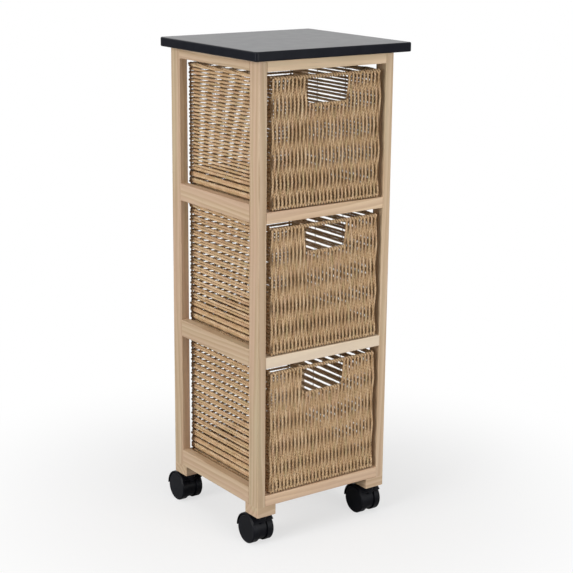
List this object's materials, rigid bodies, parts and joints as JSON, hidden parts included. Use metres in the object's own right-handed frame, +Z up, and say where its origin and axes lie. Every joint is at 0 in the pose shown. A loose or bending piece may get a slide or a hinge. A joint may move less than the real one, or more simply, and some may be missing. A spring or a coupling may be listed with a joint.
{
  "type": "rolling bathroom cabinet",
  "caption": "Narrow timber tower on swivel castors, with a flat dark top and woven baskets that slide out as drawers.",
  "frame": {"origin": "on the floor, under the middle of the outline", "axes": "+X to the right, +Y to the back, +Z up; the baskets face -Y"},
  "size_m": [0.3, 0.2946, 0.805],
  "materials": {
    "pale_timber": "satin, unpainted",
    "dark_top": "satin lacquer",
    "woven_grass": "twisted natural strand",
    "cage_wire": "satin",
    "black_plastic": "moulded, satin",
    "zinc_steel": "zinc plated"
  },
  "bodies": {
    "frame": {"top_panel": "dark_top", "stile_front_left": "pale_timber", "foot_block_front_left": "pale_timber", "stile_front_right": "pale_timber", "foot_block_front_right": "pale_timber", "stile_back_left": "pale_timber", "foot_block_back_left": "pale_timber", "stile_back_right": "pale_timber", "foot_block_back_right": "pale_timber", "side_rail_left_bottom": "pale_timber", "side_rail_right_bottom": "pale_timber", "front_rail_bottom": "pale_timber", "back_rail_bottom": "pale_timber", "side_rail_left_lower": "pale_timber", "side_rail_right_lower": "pale_timber", "front_rail_lower": "pale_timber", "back_rail_lower": "pale_timber", "side_rail_left_upper": "pale_timber", "side_rail_right_upper": "pale_timber", "front_rail_upper": "pale_timber", "back_rail_upper": "pale_timber", "side_rail_left_top": "pale_timber", "side_rail_right_top": "pale_timber", "front_rail_top": "pale_timber", "back_rail_top": "pale_timber", "bottom_runners": "pale_timber", "middle_runners": "pale_timber", "top_runners": "pale_timber", "castor_stems": "zinc_steel"},
    "bottom_basket": {"bottom_basket_wire_cage": "cage_wire", "bottom_basket_side_weave": "woven_grass", "bottom_basket_front_weave": "woven_grass", "bottom_basket_base_weave": "woven_grass"},
    "middle_basket": {"middle_basket_wire_cage": "cage_wire", "middle_basket_side_weave": "woven_grass", "middle_basket_front_weave": "woven_grass", "middle_basket_base_weave": "woven_grass"},
    "top_basket": {"top_basket_wire_cage": "cage_wire", "top_basket_side_weave": "woven_grass", "top_basket_front_weave": "woven_grass", "top_basket_base_weave": "woven_grass"},
    "castor_front_left": {"castor_front_left_housing": "black_plastic", "castor_front_left_axle": "zinc_steel"},
    "castor_front_left_wheel_left": {"castor_front_left_wheel_left": "black_plastic"},
    "castor_front_left_wheel_right": {"castor_front_left_wheel_right": "black_plastic"},
    "castor_front_right": {"castor_front_right_housing": "black_plastic", "castor_front_right_axle": "zinc_steel"},
    "castor_front_right_wheel_left": {"castor_front_right_wheel_left": "black_plastic"},
    "castor_front_right_wheel_right": {"castor_front_right_wheel_right": "black_plastic"},
    "castor_back_left": {"castor_back_left_housing": "black_plastic", "castor_back_left_axle": "zinc_steel"},
    "castor_back_left_wheel_left": {"castor_back_left_wheel_left": "black_plastic"},
    "castor_back_left_wheel_right": {"castor_back_left_wheel_right": "black_plastic"},
    "castor_back_right": {"castor_back_right_housing": "black_plastic", "castor_back_right_axle": "zinc_steel"},
    "castor_back_right_wheel_left": {"castor_back_right_wheel_left": "black_plastic"},
    "castor_back_right_wheel_right": {"castor_back_right_wheel_right": "black_plastic"}
  },
  "joints": [
    {"name": "bottom_basket_slide", "type": "slide", "parent": "frame", "child": "bottom_basket", "axis": [0, -1, 0], "range_m": [0, 0.2]},
    {"name": "middle_basket_slide", "type": "slide", "parent": "frame", "child": "middle_basket", "axis": [0, -1, 0], "range_m": [0, 0.2]},
    {"name": "top_basket_slide", "type": "slide", "parent": "frame", "child": "top_basket", "axis": [0, -1, 0], "range_m": [0, 0.2]},
    {"name": "castor_front_left_swivel", "type": "hinge", "parent": "frame", "child": "castor_front_left", "pos_m": [-0.1143, -0.11235, 0.051], "axis": [0, 0, 1], "continuous": true},
    {"name": "castor_front_left_wheel_left_spin", "type": "hinge", "parent": "castor_front_left", "child": "castor_front_left_wheel_left", "pos_m": [-0.1283, -0.09935, 0.024], "axis": [1, 0, 0], "continuous": true},
    {"name": "castor_front_left_wheel_right_spin", "type": "hinge", "parent": "castor_front_left", "child": "castor_front_left_wheel_right", "pos_m": [-0.1003, -0.09935, 0.024], "axis": [1, 0, 0], "continuous": true},
    {"name": "castor_front_right_swivel", "type": "hinge", "parent": "frame", "child": "castor_front_right", "pos_m": [0.1087, -0.11235, 0.051], "axis": [0, 0, 1], "continuous": true},
    {"name": "castor_front_right_wheel_left_spin", "type": "hinge", "parent": "castor_front_right", "child": "castor_front_right_wheel_left", "pos_m": [0.0947, -0.09935, 0.024], "axis": [1, 0, 0], "continuous": true},
    {"name": "castor_front_right_wheel_right_spin", "type": "hinge", "parent": "castor_front_right", "child": "castor_front_right_wheel_right", "pos_m": [0.1227, -0.09935, 0.024], "axis": [1, 0, 0], "continuous": true},
    {"name": "castor_back_left_swivel", "type": "hinge", "parent": "frame", "child": "castor_back_left", "pos_m": [-0.1143, 0.10665, 0.051], "axis": [0, 0, 1], "continuous": true},
    {"name": "castor_back_left_wheel_left_spin", "type": "hinge", "parent": "castor_back_left", "child": "castor_back_left_wheel_left", "pos_m": [-0.1283, 0.11965, 0.024], "axis": [1, 0, 0], "continuous": true},
    {"name": "castor_back_left_wheel_right_spin", "type": "hinge", "parent": "castor_back_left", "child": "castor_back_left_wheel_right", "pos_m": [-0.1003, 0.11965, 0.024], "axis": [1, 0, 0], "continuous": true},
    {"name": "castor_back_right_swivel", "type": "hinge", "parent": "frame", "child": "castor_back_right", "pos_m": [0.1087, 0.10665, 0.051], "axis": [0, 0, 1], "continuous": true},
    {"name": "castor_back_right_wheel_left_spin", "type": "hinge", "parent": "castor_back_right", "child": "castor_back_right_wheel_left", "pos_m": [0.0947, 0.11965, 0.024], "axis": [1, 0, 0], "continuous": true},
    {"name": "castor_back_right_wheel_right_spin", "type": "hinge", "parent": "castor_back_right", "child": "castor_back_right_wheel_right", "pos_m": [0.1227, 0.11965, 0.024], "axis": [1, 0, 0], "continuous": true}
  ]
}
